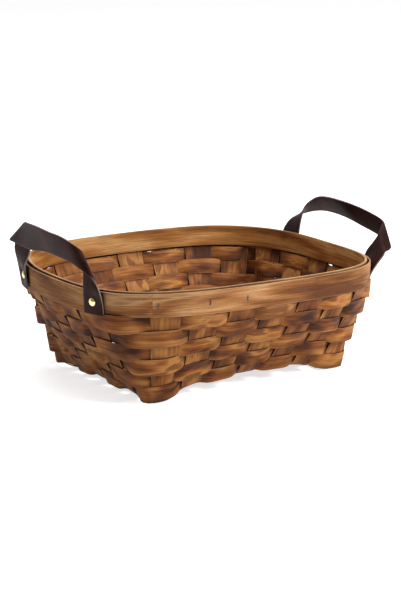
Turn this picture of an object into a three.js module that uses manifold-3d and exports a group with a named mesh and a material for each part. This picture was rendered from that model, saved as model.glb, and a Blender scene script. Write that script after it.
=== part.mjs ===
// A low rectangular basket woven from wood splints, with two leather strap handles.
// Lengths are millimetres and angles are degrees. X runs along the basket from handle to handle,
// Y across it and Z up. The basket stands on its four corner feet at Z = 0, and the origin is
// under the middle of its outline.

import * as THREE from 'three';
import { mergeVertices } from 'three/addons/utils/BufferGeometryUtils.js';
import Module from 'manifold-3d';

const wasm = await Module();
wasm.setup();

// Gap between neighbouring pieces
const clearance = 0.3;

// Rim: an inner and an outer band with the stake ends between them
const rimLength = 350;
const rimWidth = 303;
const rimHeight = 118;
const rimRoundness = 3.05;
const rimSag = 1.9;
const bandFlare = 1;
const outerBandHeight = 24;
const outerBandThickness = 2.2;
const innerBandHeight = 22.5;
const innerBandThickness = 3;
const innerBandRise = 1.5;

// Stakes: flat splints that cross in the base and turn up at its edge into the wall's uprights
const crossStakeCount = 7;
const longStakeCount = 5;
const stakeThickness = 1;
const stakeBaseWidth = 23;
const stakeRimWidth = 31;
const stakeEndDepth = 3;
const crossPitch = 34;
const longPitch = 31;
const frontSpread = 42;
const backSpread = 43.5;
const frontLean = 7;
const longSpread = 41;
const longLean = 17;
const foldRun = 2.5;
const rimFoldRun = 1;
const interlaceRun = 4;
const crossingGap = 0.45;

// Base: flat on four corner feet and arched up between them. The rim leans a little, because the
// left wall is taller than the right one.
const baseWidth = 193;
const longArch = 12;
const shortArch = 4;
const archPower = 4;
const footLength = 28;
const footWidth = 17;
const endMargin = 4;
const rimLean = 1.8;

// Weavers: six splints that run around the wall, over one stake and under the next
const weaverCount = 6;
const weaverWidth = 15.8;
const weaverThickness = 0.9;
const weaverSwing = 3.1;
const weaverRoundness = 0.75;
const bottomRowLift = 2.2;
const topRowDrop = 1.5;
const wallBow = 1.1;

// Handles: leather straps, each riveted through the rim at both ends. The front rivet passes
// through the outermost long stake, beside its middle. The strap bends just above its tabs,
// about a line at the hinge height over the rim. The loop reaches a little below that line, and
// its edges rise from it at the notch angle, so that they clear the tabs as it turns.
const strapWidth = 26;
const strapThickness = 2;
const rivetBeside = 9;
const tabSpacing = (longStakeCount - 1) * longSpread - 2 * (longLean - rivetBeside);
const hingeHeight = 1.2;
const hingeDepth = 0.7;
const notchAngle = 45;

// Each handle hangs as its strap happens to rest, given from its front tab to its back tab by
// where the middle of the strap is and by how the strap's width lies there. The places are out
// from the rim's end, along it from the front tab at -1 to the back tab at 1, and up from the
// rim, out and up in rest steps. The spans run from the strap's lower edge to its upper edge, in
// widths of the strap.
const restStep = 1;
const leftRest = [
  { at: [-4.5, -0.97, 16.5], span: [0.08, 0.88, 0.73] },
  { at: [0, -1.01, 25.5], span: [0.15, 0.65, 1] },
  { at: [6, -0.91, 32.5], span: [0.19, 0.46, 1] },
  { at: [10, -0.68, 38], span: [0.23, 0.46, 0.98] },
  { at: [12, -0.33, 40], span: [0.21, 0.23, 0.92] },
  { at: [12, 0, 41], span: [0.21, 0, 0.92] },
  { at: [10.5, 0.38, 40.5], span: [0.1, -0.2, 0.9] },
  { at: [8, 0.72, 38.5], span: [-0.04, -0.6, 0.9] },
  { at: [6.5, 0.9, 37], span: [-0.15, -1.08, 0.88] },
  { at: [2.5, 0.94, 36], span: [-0.18, -1.12, 0.85] },
  { at: [0.5, 0.96, 31.5], span: [0, -1, 0.72] },
  { at: [-1, 0.97, 17], span: [-0.05, -0.98, 0.15] },
];
const rightRest = [
  { at: [10.5, -1.07, 9], span: [0.27, 0.96, 0.46] },
  { at: [19.5, -1, 14], span: [0.35, 1.05, 0.8] },
  { at: [23.5, -0.97, 16.5], span: [0.38, 1.05, 0.88] },
  { at: [26, -0.87, 19.5], span: [0.25, 0.9, 0.86] },
  { at: [27, -0.6, 24], span: [0, 0.5, 0.84] },
  { at: [25, -0.21, 29], span: [-0.2, 0.31, 0.86] },
  { at: [20.5, 0.06, 33], span: [-0.42, 0.19, 0.82] },
  { at: [18, 0.4, 34.5], span: [-0.5, 0.1, 0.75] },
  { at: [16, 0.67, 32.5], span: [-0.52, -0.31, 0.66] },
  { at: [11, 0.93, 23.5], span: [-0.44, -0.62, 0.42] },
  { at: [2, 1, 12.5], span: [-0.1, -0.94, 0.15] },
];

// Rivets, spread behind the outer band, and the three staples of the outer band's lap, each with
// its place beside the middle of a front stake
const rivetHeadRadius = 4.2;
const rivetHeadHeight = 2.4;
const rivetShankRadius = 1.5;
const rivetTailRadius = 2.4;
const rivetTailHeight = 0.8;
const rivetDepth = 11;
const stapleHeight = 6;
const stapleWire = 0.8;
const stapleBite = 1.5;
const stapleBeside = [-7, 3, 3];

// Steps that the curved pieces are drawn with. The places are those of a weaver between one
// upright at 0 and the next at 1, along a side and around a corner.
const hoopSteps = 96;
const gapPlaces = [0, 0.36, 0.64];
const cornerPlaces = [0, 0.13, 0.27, 0.4, 0.6, 0.73, 0.87];
const wallSteps = 5;
const stakeColumns = 2;
const outermostColumns = 4;
const strapSteps = 38;
const strapColumns = 4;
const roundSteps = 16;
const domeSteps = 5;
const ovalSteps = 1440;
const levelSteps = 8;
const smallStep = 1e-3;

// Sizes that follow from the ones above
const bandBottom = rimHeight - outerBandHeight;
const wallOffset = stakeThickness / 2 + clearance;
const rimInset = outerBandThickness + wallOffset;
const baseLength = crossPitch * (crossStakeCount - 1) + stakeBaseWidth + 2 * endMargin;
const tabOffset = wallOffset + outerBandThickness + clearance + strapThickness / 2;
const headSeat = tabOffset + strapThickness / 2 + clearance;
const tailSeat = wallOffset - clearance;
const notchSlope = Math.tan((notchAngle * Math.PI) / 180);
const interlace = (stakeThickness + crossingGap) / 2;

const leanAngle = (rimLean * Math.PI) / 180;
const widthAxis = new THREE.Vector3(0, 1, 0);
const up = new THREE.Vector3(0, 0, 1);
const down = new THREE.Vector3(0, 0, -1).applyAxisAngle(widthAxis, -leanAngle);

// The value a share of the way from one number to another
function between(from, to, share) {
  return from + (to - from) * share;
}

function vector(x, y, z) {
  return new THREE.Vector3(x, y, z);
}

// The rim's oval, through the middle of the stakes at the bottom of the bands
function rimOval(angle) {
  const a = rimLength / 2 - rimInset - bandFlare;
  const b = rimWidth / 2 - rimInset - bandFlare;
  const c = Math.cos(angle);
  const s = Math.sin(angle);
  const x = a * Math.sign(c) * Math.abs(c) ** (2 / rimRoundness);
  const y = b * Math.sign(s) * Math.abs(s) ** (2 / rimRoundness);
  return vector(x, y, bandBottom - rimSag * Math.cos(2 * angle));
}

// A closed chain of points with the length walked to each of them
function measuredChain(pointAt, count) {
  const chain = [];
  let length = 0;
  for (let i = 0; i <= count; i += 1) {
    const point = pointAt(i / count);
    if (i > 0) {
      length += point.distanceTo(chain[i - 1].point);
    }
    chain.push({ point, share: i / count, length });
  }
  return { chain, total: length };
}

// The share of the way around a measured chain at a given length
function shareAtLength(measured, length) {
  const wanted = ((length % measured.total) + measured.total) % measured.total;
  let next = 1;
  while (measured.chain[next].length < wanted) next += 1;
  const before = measured.chain[next - 1];
  const after = measured.chain[next];
  const part = (wanted - before.length) / (after.length - before.length);
  return between(before.share, after.share, part);
}

const oval = measuredChain((share) => rimOval(share * 2 * Math.PI), ovalSteps);

// The point of the rim's oval at a length around it
function ovalPoint(length) {
  return rimOval(shareAtLength(oval, length) * 2 * Math.PI);
}

// Height of the base's middle plane: flat on the corner feet and arched between them
function baseHeight(x, y) {
  const alongX = Math.min(1, Math.abs(x) / (baseLength / 2 - footLength));
  const alongY = Math.min(1, Math.abs(y) / (baseWidth / 2 - footWidth));
  const arch = longArch * (1 - alongX ** archPower) + shortArch * (1 - alongY ** archPower);
  return stakeThickness / 2 + arch;
}

// A point of the base. Everything is laid out level with the rim, so the base slopes under it
// until each finished piece is turned.
function basePoint(x, y, offset = 0) {
  return vector(x, y, baseHeight(x, y) + offset).applyAxisAngle(widthAxis, -leanAngle);
}

// Steps of the stakes to each side of the middle one
const crossSteps = Array.from({ length: crossStakeCount }, (_, i) => i - (crossStakeCount - 1) / 2);
const longSteps = Array.from({ length: longStakeCount }, (_, i) => i - (longStakeCount - 1) / 2);

// One station for each upright and one for each corner, counter-clockwise from the front left
function makeStations() {
  const quarter = oval.total / 4;
  const corner = (signX, signY) => ({
    base: basePoint((signX * baseLength) / 2, (signY * baseWidth) / 2),
  });
  const cross = (step, side) => ({
    name: `cross ${step}`,
    side,
    base: basePoint(step * crossPitch, (side * baseWidth) / 2),
    length: side < 0 ? 3 * quarter + step * frontSpread + frontLean : 5 * quarter - step * backSpread,
  });
  const long = (step, side) => ({
    name: `long ${step}`,
    side,
    base: basePoint((side * baseLength) / 2, step * longPitch),
    length: (side > 0 ? 4 : 6) * quarter + side * (step * longSpread + longLean),
  });
  const list = [
    ...crossSteps.map((step) => cross(step, -1)),
    corner(1, -1),
    ...longSteps.map((step) => long(step, 1)),
    corner(1, 1),
    ...crossSteps.toReversed().map((step) => cross(step, 1)),
    corner(-1, 1),
    ...longSteps.toReversed().map((step) => long(step, -1)),
    corner(-1, -1),
  ];
  list.forEach((station, i) => {
    if (!station.name) {
      const after = i + 1 < list.length ? list[i + 1].length : list[0].length + oval.total;
      station.length = (list[i - 1].length + after) / 2;
    }
  });
  return list;
}

const stations = makeStations();
const uprights = stations.filter((station) => station.name);
const baseCurve = new THREE.CatmullRomCurve3(stations.map((station) => station.base), true, 'centripetal');

// Places around the wall are given as shares, from 0 at the first station to 1 back at it.
// This is the rim point that belongs to a share.
function rimPoint(share) {
  const wrapped = share - Math.floor(share);
  const place = wrapped * stations.length;
  const index = Math.floor(place) % stations.length;
  const from = stations[index].length;
  const to = index + 1 < stations.length ? stations[index + 1].length : stations[0].length + oval.total;
  return ovalPoint(between(from, to, place - index));
}

// A point on the wall's middle surface: rise is 0 at the base's edge and 1 at the bottom of the bands
function wallPoint(rise, share) {
  const base = baseCurve.getPoint(share - Math.floor(share));
  const rim = rimPoint(share);
  const spread = 1 - (1 - rise) ** wallBow;
  const x = between(base.x, rim.x, spread);
  const y = between(base.y, rim.y, spread);
  return vector(x, y, between(base.z, rim.z, rise));
}

// Directions at a point of a surface that is drawn by a function of height and place
function surfaceFrame(surface, height, place) {
  const point = surface(height, place);
  const along = surface(height, place + smallStep).sub(surface(height, place - smallStep)).normalize();
  const higher = surface(height + smallStep, place).sub(surface(height, place));
  const outward = along.clone().cross(higher).normalize();
  return { point, outward };
}

// The rim's surface between the bands, by the height above the bottom of the bands and the
// length around the oval
function bandPoint(height, length) {
  const along = ovalPoint(length + smallStep).sub(ovalPoint(length - smallStep));
  const outward = along.cross(up).normalize();
  const flare = (bandFlare * height) / outerBandHeight;
  return ovalPoint(length).addScaledVector(outward, flare).addScaledVector(up, height);
}

const wallSlant = stations[0].base.distanceTo(rimPoint(0));
const levels = new Map();

// The level curve at one rise of the wall, measured along its length
function levelAt(rise) {
  if (!levels.has(rise)) {
    levels.set(rise, measuredChain((share) => wallPoint(rise, share), stations.length * levelSteps));
  }
  return levels.get(rise);
}

// The share that lies a given length along a level curve from a station
function shareBeside(station, rise, distance) {
  const level = levelAt(rise);
  const start = level.chain[stations.indexOf(station) * levelSteps].length;
  return shareAtLength(level, start + distance);
}

// A mesh from rows of points with their outward directions: a sheet of even thickness
function sheetGeometry(rows, thickness, isLoop = false) {
  const across = rows[0].length;
  const positions = [];
  for (const row of rows) {
    for (const { point, outward } of row) {
      positions.push(point.clone().addScaledVector(outward, thickness / 2));
      positions.push(point.clone().addScaledVector(outward, -thickness / 2));
    }
  }
  const outer = (i, j) => 2 * ((i % rows.length) * across + j);
  const inner = (i, j) => outer(i, j) + 1;
  const index = [];
  const quad = (a, b, c, d) => index.push(a, b, c, a, c, d);
  const lastRow = isLoop ? rows.length : rows.length - 1;
  for (let i = 0; i < lastRow; i += 1) {
    for (let j = 0; j + 1 < across; j += 1) {
      quad(outer(i, j), outer(i + 1, j), outer(i + 1, j + 1), outer(i, j + 1));
      quad(inner(i, j), inner(i, j + 1), inner(i + 1, j + 1), inner(i + 1, j));
    }
    quad(outer(i, 0), inner(i, 0), inner(i + 1, 0), outer(i + 1, 0));
    quad(outer(i, across - 1), outer(i + 1, across - 1), inner(i + 1, across - 1), inner(i, across - 1));
  }
  if (!isLoop) {
    for (let j = 0; j + 1 < across; j += 1) {
      quad(outer(0, j), outer(0, j + 1), inner(0, j + 1), inner(0, j));
      quad(outer(lastRow, j), inner(lastRow, j), inner(lastRow, j + 1), outer(lastRow, j + 1));
    }
  }
  const geometry = new THREE.BufferGeometry();
  const numbers = positions.flatMap((p) => p.toArray());
  geometry.setAttribute('position', new THREE.Float32BufferAttribute(numbers, 3));
  geometry.setIndex(index);
  return facingOut(geometry);
}

// Turns a closed mesh the right way out, by the sign of its volume
function facingOut(geometry) {
  const p = geometry.attributes.position;
  const index = geometry.index.array;
  const [a, b, c] = [vector(0, 0, 0), vector(0, 0, 0), vector(0, 0, 0)];
  let volume = 0;
  for (let i = 0; i < index.length; i += 3) {
    a.fromBufferAttribute(p, index[i]);
    b.fromBufferAttribute(p, index[i + 1]);
    c.fromBufferAttribute(p, index[i + 2]);
    volume += a.dot(b.cross(c));
  }
  if (volume < 0) {
    geometry.setIndex(Array.from(index).reverse());
  }
  return geometry;
}

// A solid that can be cut, from a mesh
function toSolid(geometry) {
  const bare = geometry.clone();
  bare.deleteAttribute('normal');
  bare.deleteAttribute('uv');
  const merged = mergeVertices(bare, 1e-4);
  return new wasm.Manifold(new wasm.Mesh({
    numProp: 3,
    vertProperties: new Float32Array(merged.attributes.position.array),
    triVerts: new Uint32Array(merged.index.array),
  }));
}

// A mesh from a solid
function toGeometry(solid) {
  const mesh = solid.getMesh();
  const geometry = new THREE.BufferGeometry();
  geometry.setAttribute('position', new THREE.BufferAttribute(new Float32Array(mesh.vertProperties), 3));
  geometry.setIndex(new THREE.BufferAttribute(new Uint32Array(mesh.triVerts), 1));
  return geometry;
}

// A mesh with others cut out of it
function cut(geometry, cutters) {
  return toGeometry(cutters.reduce((solid, cutter) => solid.subtract(toSolid(cutter)), toSolid(geometry)));
}

// One row of points across an upright, with the same left and right at both of its ends
function uprightRow(station, rise, across, hand) {
  const width = between(stakeBaseWidth, stakeRimWidth, rise);
  return Array.from({ length: across + 1 }, (_, j) => {
    const distance = hand * (j / across - 0.5) * width;
    return surfaceFrame(wallPoint, rise, shareBeside(station, rise, distance));
  });
}

// A row of points that lies along the bands, at a height above their lower edge
function bandRow(height, length, width, across) {
  return Array.from({ length: across + 1 }, (_, j) => {
    return surfaceFrame(bandPoint, height, length + (j / across - 0.5) * width);
  });
}

// All rows of an upright, from the base's edge to its end between the bands
function uprightRows(station, across, hand) {
  const first = foldRun / wallSlant;
  const last = 1 - rimFoldRun / wallSlant;
  const rows = [];
  for (let i = 0; i <= wallSteps; i += 1) {
    rows.push(uprightRow(station, between(first, last, i / wallSteps), across, hand));
  }
  for (const height of [rimFoldRun, outerBandHeight - stakeEndDepth]) {
    rows.push(bandRow(height, station.length, hand * stakeRimWidth, across));
  }
  return rows;
}

// A row of points across a stake in the base, lifted or lowered where it crosses the others
function baseRow(pointAt, { place, offset }, across) {
  return Array.from({ length: across + 1 }, (_, j) => {
    const [x, y] = pointAt(place, (j / across - 0.5) * stakeBaseWidth);
    return { point: basePoint(x, y, offset), outward: down };
  });
}

// The rounded fold between the base and an upright
function foldRow(baseEnd, wallEnd, corner) {
  return baseEnd.map((from, j) => {
    const to = wallEnd[j];
    const middle = from.point.clone().add(to.point).divideScalar(2);
    return {
      point: middle.lerp(corner[j].point, 0.5),
      outward: from.outward.clone().add(to.outward).normalize(),
    };
  });
}

// Where a stake is high, low or level along its way through the base
function basePlaces(kind, step) {
  const isCross = kind === 'cross';
  const others = isCross ? longSteps : crossSteps;
  const pitch = isCross ? longPitch : crossPitch;
  const half = (isCross ? baseWidth : baseLength) / 2;
  const rest = half - foldRun;
  const foot = half - (isCross ? footWidth : footLength);
  const halfCrossing = stakeBaseWidth / 2 + clearance;
  const places = [];
  for (const other of others) {
    const crossIsAbove = (step + other) % 2 === 0;
    const offset = crossIsAbove === isCross ? interlace : -interlace;
    for (const edge of [-halfCrossing, 0, halfCrossing]) {
      places.push({ place: other * pitch + edge, offset });
    }
  }
  const level = places.at(-1).place + interlaceRun;
  const flats = [level, foot, rest].filter((place) => place >= Math.min(level, rest) && place <= rest);
  const after = flats.map((place) => ({ place, offset: 0 }));
  const before = flats.toReversed().map((place) => ({ place: -place, offset: 0 }));
  return [...before, ...places, ...after];
}

// A whole stake: down one side, across the base and up the other side
function stakeGeometry(kind, step) {
  const isCross = kind === 'cross';
  const own = step * (isCross ? crossPitch : longPitch);
  const pointAt = (place, beside) => (isCross ? [own + beside, place] : [place, own + beside]);
  const isOutermost = Math.abs(step) === (isCross ? crossSteps : longSteps).at(-1);
  const across = isOutermost ? outermostColumns : stakeColumns;
  const inBase = basePlaces(kind, step).map((place) => baseRow(pointAt, place, across));
  const sides = [-1, 1].map((side) => {
    const station = uprights.find((u) => u.name === `${kind} ${step}` && u.side === side);
    const hand = isCross ? -side : side;
    const rows = uprightRows(station, across, hand);
    const baseEnd = side < 0 ? inBase[0] : inBase.at(-1);
    return [foldRow(baseEnd, rows[0], uprightRow(station, 0, across, hand)), ...rows];
  });
  return sheetGeometry([...sides[0].toReversed(), ...inBase, ...sides[1]], stakeThickness);
}

// A weaver passes outside the uprights whose number and row add up to an odd number
function weaverGeometry(row) {
  const bottom = bottomRowLift / wallSlant;
  const top = 1 - topRowDrop / wallSlant;
  const rise = between(bottom, top, (weaverCount - row + 0.5) / weaverCount);
  const halfRise = weaverWidth / 2 / wallSlant;
  const level = levelAt(rise);
  const lengthAt = (station) => level.chain[stations.indexOf(station) * levelSteps].length;
  const rows = [];
  uprights.forEach((station, i) => {
    const next = uprights[(i + 1) % uprights.length];
    const from = lengthAt(station);
    const to = lengthAt(next) + (next === uprights[0] ? level.total : 0);
    const hasCorner = stations[(stations.indexOf(station) + 1) % stations.length] !== next;
    const side = (row + i) % 2 === 0 ? 1 : -1;
    for (const place of hasCorner ? cornerPlaces : gapPlaces) {
      const wave = Math.cos(Math.PI * place);
      const offset = side * weaverSwing * Math.sign(wave) * Math.abs(wave) ** weaverRoundness;
      const share = shareAtLength(level, between(from, to, place));
      rows.push([rise - halfRise, rise + halfRise].map((edge) => {
        const { point, outward } = surfaceFrame(wallPoint, edge, share);
        return { point: point.addScaledVector(outward, offset), outward };
      }));
    }
  });
  return sheetGeometry(rows, weaverThickness, true);
}

// A hoop that lies beside the stake ends, between two heights above the bottom of the bands
function bandGeometry(offset, thickness, bottom, top) {
  const rows = Array.from({ length: hoopSteps }, (_, i) => [bottom, top].map((height) => {
    const { point, outward } = surfaceFrame(bandPoint, height, (i / hoopSteps) * oval.total);
    return { point: point.addScaledVector(outward, offset), outward };
  }));
  return sheetGeometry(rows, thickness, true);
}

// The outer band, which the straps are riveted to
function outerBand() {
  return bandGeometry(wallOffset + outerBandThickness / 2, outerBandThickness, 0, outerBandHeight);
}

// The inner band, thicker and standing a little above the outer one
function innerBand() {
  const top = outerBandHeight + innerBandRise;
  return bandGeometry(-wallOffset - innerBandThickness / 2, innerBandThickness, top - innerBandHeight, top);
}

// The length around the rim where a strap is riveted
function tabLength(end, side) {
  const middle = ((end > 0 ? 4 : 6) * oval.total) / 4;
  return middle + (end * side * tabSpacing) / 2;
}

// A tab: the strap's end, flat on the outer band
function tabGeometry(end, side) {
  const rows = [0, outerBandHeight - clearance].map((height) => {
    const row = bandRow(height, tabLength(end, side), strapWidth, strapColumns);
    row.forEach(({ point, outward }) => point.addScaledVector(outward, tabOffset));
    return row;
  });
  return sheetGeometry(rows, strapThickness);
}

// The line where a handle's loop starts above its tab, as the strap's two edge points
function hingeRuling(end, side) {
  const { point, outward } = surfaceFrame(bandPoint, outerBandHeight, tabLength(end, side));
  outward.setZ(0).normalize();
  const away = outward.clone().cross(up).multiplyScalar((-end * side * strapWidth) / 2);
  point.addScaledVector(outward, tabOffset).addScaledVector(up, hingeHeight - hingeDepth);
  return [point.clone().add(away), point.clone().sub(away)];
}

// The strap's two edge points at one place of its rest shape
function restRuling(end, { at: [out, along, height], span }) {
  const middle = vector(
    end * (rimLength / 2 + out * restStep),
    (along * tabSpacing) / 2,
    rimHeight + height * restStep,
  );
  const half = vector(end * span[0], span[1], span[2]).multiplyScalar(strapWidth / 2);
  return [middle.clone().sub(half), middle.clone().add(half)];
}

// The loop of a handle between its two hinge lines
function loopGeometry(end, rest) {
  const middle = rest.map((place) => restRuling(end, place));
  const rulings = [hingeRuling(end, -1), ...middle, hingeRuling(end, 1)];
  const edges = [0, 1].map((k) => new THREE.CatmullRomCurve3(rulings.map((ruling) => ruling[k])));
  const rows = [];
  for (let i = 0; i <= strapSteps; i += 1) {
    const t = i / strapSteps;
    const [low, high] = edges.map((edge) => edge.getPoint(t));
    const [lowAlong, highAlong] = edges.map((edge) => edge.getTangent(t));
    const across = high.clone().sub(low);
    rows.push(Array.from({ length: strapColumns + 1 }, (_, j) => ({
      point: low.clone().lerp(high, j / strapColumns),
      outward: lowAlong.clone().lerp(highAlong, j / strapColumns).cross(across).normalize(),
    })));
  }
  notchEnd(rows[0]);
  notchEnd(rows.at(-1));
  return sheetGeometry(rows, strapThickness);
}

// Raises the edges of a loop's end, so that it turns on its hinge line clear of the tab
function notchEnd(row) {
  const middle = (row[0].point.x + row.at(-1).point.x) / 2;
  for (const entry of row) {
    entry.point.z += notchSlope * Math.abs(entry.point.x - middle);
  }
}

// Moves a shape drawn with X outward and Y up the bands to a place on them
function placeOnBands(geometry, height, length) {
  const { point, outward } = surfaceFrame(bandPoint, height, length);
  const beside = outward.clone().cross(up).normalize();
  const steep = beside.clone().cross(outward);
  const matrix = new THREE.Matrix4().makeBasis(outward, steep, beside).setPosition(point);
  return geometry.applyMatrix4(matrix);
}

// A turned shape whose axis points outward through the bands at a rivet
function turnedOnBands(profile, end, side) {
  const points = profile.map(([radius, out]) => new THREE.Vector2(radius, out));
  const turned = new THREE.LatheGeometry(points, roundSteps).rotateZ(-Math.PI / 2);
  const placed = placeOnBands(turned, outerBandHeight - rivetDepth, tabLength(end, side));
  return facingOut(placed);
}

// A rivet: domed head outside, shank through the tab and the outer band, spread tail behind it
function rivetGeometry(end, side) {
  const dome = Array.from({ length: domeSteps + 1 }, (_, i) => {
    const angle = (i * Math.PI) / 2 / domeSteps;
    return [rivetHeadRadius * Math.cos(angle), headSeat + rivetHeadHeight * Math.sin(angle)];
  });
  return toGeometry(toSolid(turnedOnBands([
    [0, tailSeat - rivetTailHeight],
    [rivetTailRadius, tailSeat - rivetTailHeight],
    [rivetTailRadius, tailSeat],
    [rivetShankRadius, tailSeat],
    [rivetShankRadius, headSeat],
    ...dome,
  ], end, side)));
}

// The hole through the layers that a rivet passes: for its shank or, in a stake, for its tail
function rivetHole(end, side, radius) {
  const hole = radius + clearance;
  return turnedOnBands([
    [0, -innerBandThickness],
    [hole, -innerBandThickness],
    [hole, 2 * headSeat],
    [0, 2 * headSeat],
  ], end, side);
}

// Where the staples are: beside the middle of three front stakes, halfway up the outer band
function placeStaple(geometry, i) {
  return placeOnBands(geometry, outerBandHeight / 2, stations[i].length + stapleBeside[i]);
}

// A staple: its back outside the outer band and two legs into the inner band
function stapleGeometry(i) {
  const inside = -wallOffset - stapleBite;
  const outside = wallOffset + outerBandThickness + clearance;
  const outline = new THREE.Shape([
    new THREE.Vector2(inside, stapleHeight / 2),
    new THREE.Vector2(outside + stapleWire, stapleHeight / 2),
    new THREE.Vector2(outside + stapleWire, -stapleHeight / 2),
    new THREE.Vector2(inside, -stapleHeight / 2),
    new THREE.Vector2(inside, stapleWire - stapleHeight / 2),
    new THREE.Vector2(outside, stapleWire - stapleHeight / 2),
    new THREE.Vector2(outside, stapleHeight / 2 - stapleWire),
    new THREE.Vector2(inside, stapleHeight / 2 - stapleWire),
  ]);
  const wire = new THREE.ExtrudeGeometry(outline, { depth: stapleWire, bevelEnabled: false });
  return toGeometry(toSolid(placeStaple(wire.translate(0, 0, -stapleWire / 2), i)));
}

// The two holes that a staple's legs need in the layers they pass
function stapleHoles(i) {
  const hole = stapleWire + 2 * clearance;
  const inside = wallOffset + stapleBite + clearance;
  const outside = wallOffset + outerBandThickness + clearance;
  return [-1, 1].map((leg) => {
    const box = new THREE.BoxGeometry(outside + inside, hole, hole);
    const height = (leg * (stapleHeight - stapleWire)) / 2;
    return placeStaple(box.translate((outside - inside) / 2, height, 0), i);
  });
}

// Stained wood splint
function woodMaterial(colour) {
  return new THREE.MeshStandardMaterial({ color: colour, roughness: 0.7, metalness: 0 });
}

// Dark brown leather
function leatherMaterial() {
  return new THREE.MeshStandardMaterial({ color: 0x2e2424, roughness: 0.5, metalness: 0 });
}

// Polished brass
function brassMaterial() {
  return new THREE.MeshStandardMaterial({ color: 0xd8bd6a, roughness: 0.25, metalness: 1 });
}

// Plain steel wire
function steelMaterial() {
  return new THREE.MeshStandardMaterial({ color: 0x8a8580, roughness: 0.4, metalness: 1 });
}

const basket = new THREE.Group();

// Adds a finished piece, turned so that the base stands level
function addPiece(name, geometry, material) {
  geometry.rotateY(leanAngle);
  const mesh = new THREE.Mesh(geometry, material);
  mesh.name = name;
  basket.add(mesh);
}

const ends = [['left', -1, leftRest], ['right', 1, rightRest]];
const sides = [['front', -1], ['back', 1]];
const holesFor = (radius) => ends.flatMap(([, end]) => sides.map(([, side]) => rivetHole(end, side, radius)));
const allStapleHoles = stapleBeside.flatMap((_, i) => stapleHoles(i));

crossSteps.forEach((step, i) => {
  const stake = cut(stakeGeometry('cross', step), allStapleHoles);
  addPiece(`cross_stake_${i + 1}`, stake, woodMaterial(0x9a6236));
});
longSteps.forEach((step, i) => {
  const stake = cut(stakeGeometry('long', step), holesFor(rivetTailRadius));
  addPiece(`long_stake_${i + 1}`, stake, woodMaterial(0x8c5830));
});
for (let row = 1; row <= weaverCount; row += 1) {
  addPiece(`weaver_${row}`, weaverGeometry(row), woodMaterial(0x7a4a28));
}
const outerHoles = [...holesFor(rivetShankRadius), ...allStapleHoles];
addPiece('outer_rim_band', cut(outerBand(), outerHoles), woodMaterial(0xa06c38));
addPiece('inner_rim_band', cut(innerBand(), allStapleHoles), woodMaterial(0x84582e));
stapleBeside.forEach((_, i) => {
  addPiece(`rim_staple_${i + 1}`, stapleGeometry(i), steelMaterial());
});
for (const [endName, end, rest] of ends) {
  for (const [sideName, side] of sides) {
    const tab = cut(tabGeometry(end, side), [rivetHole(end, side, rivetShankRadius)]);
    addPiece(`${endName}_strap_tab_${sideName}`, tab, leatherMaterial());
    addPiece(`${endName}_rivet_${sideName}`, rivetGeometry(end, side), brassMaterial());
  }
  addPiece(`${endName}_strap_loop`, loopGeometry(end, rest), leatherMaterial());
}

const outline = new THREE.Box3().setFromObject(basket);
const middle = outline.getCenter(vector(0, 0, 0));
basket.children.forEach((mesh) => mesh.geometry.translate(-middle.x, -middle.y, -outline.min.z));

export default basket;
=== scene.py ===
"""A low basket woven from stained wood splints, with two riveted leather strap handles.

Lengths are in millimetres until a mesh is made, and then in metres. X runs from the left handle
to the right one, Y from the front to the back and Z up.
"""

import math

import bpy
import numpy as np
from mathutils import Matrix, Vector


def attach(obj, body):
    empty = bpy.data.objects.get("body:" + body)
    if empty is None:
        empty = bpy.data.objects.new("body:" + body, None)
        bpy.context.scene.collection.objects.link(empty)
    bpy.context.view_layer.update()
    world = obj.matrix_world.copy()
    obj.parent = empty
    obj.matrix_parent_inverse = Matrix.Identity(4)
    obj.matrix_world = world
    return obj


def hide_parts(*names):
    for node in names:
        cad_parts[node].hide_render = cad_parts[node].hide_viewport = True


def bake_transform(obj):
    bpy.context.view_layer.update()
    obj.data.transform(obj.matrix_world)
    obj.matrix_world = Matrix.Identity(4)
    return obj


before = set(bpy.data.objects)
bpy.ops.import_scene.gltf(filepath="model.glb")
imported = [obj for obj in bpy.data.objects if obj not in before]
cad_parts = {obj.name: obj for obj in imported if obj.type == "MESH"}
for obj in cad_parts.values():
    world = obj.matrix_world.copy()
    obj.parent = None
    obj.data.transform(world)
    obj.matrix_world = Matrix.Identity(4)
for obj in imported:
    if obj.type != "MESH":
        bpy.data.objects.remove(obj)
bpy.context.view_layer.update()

# Stakes
# Thin splints of poplar, stained brown. Seven run across the base and five along it, one over the
# next, and each turns up at both ends into an upright of the wall, up to its end between the bands.
stake_width = 23.0
upright_width = 31.0
stake_thickness = 1.0
clearance = 0.3
cross_pitch = 34.0
long_pitch = 31.0
cross_steps = np.arange(-3, 4)
long_steps = np.arange(-2, 3)

# The form that they are bent over: a squarish oval rim that sags a little at its ends, and a
# rectangular base arched up between four corner feet.
rim_length = 350.0
rim_width = 303.0
rim_height = 118.0
rim_roundness = 3.05
rim_sag = 1.9
band_height = 24.0
band_thickness = 2.2
band_flare = 1.0
band_bottom = rim_height - band_height
wall_offset = stake_thickness / 2 + clearance
rim_inset = band_thickness + wall_offset + band_flare
base_margin = 8.0
base_width = 193.0
base_length = cross_pitch * 6 + stake_width + base_margin
foot_length = 23.0
foot_width = 15.0
arch_along = 12.0
arch_across = 4.0
arch_flatness = 4

# The basket is laid out level with its rim, and turned in the end until it stands on its feet,
# because its left wall is a little taller than its right one.
lean = math.radians(1.8)
centring = (-12.061653, 0.220596, 0.0)
standing = Matrix.Translation(Vector(centring) / 1000) @ Matrix.Rotation(lean, 4, "Y")


def stood(points):
    """Points laid out level with the rim in millimetres, as the basket stands, in metres."""
    turn = np.array(standing.to_3x3())
    return (points @ turn.T + np.array(centring)) / 1000


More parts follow.
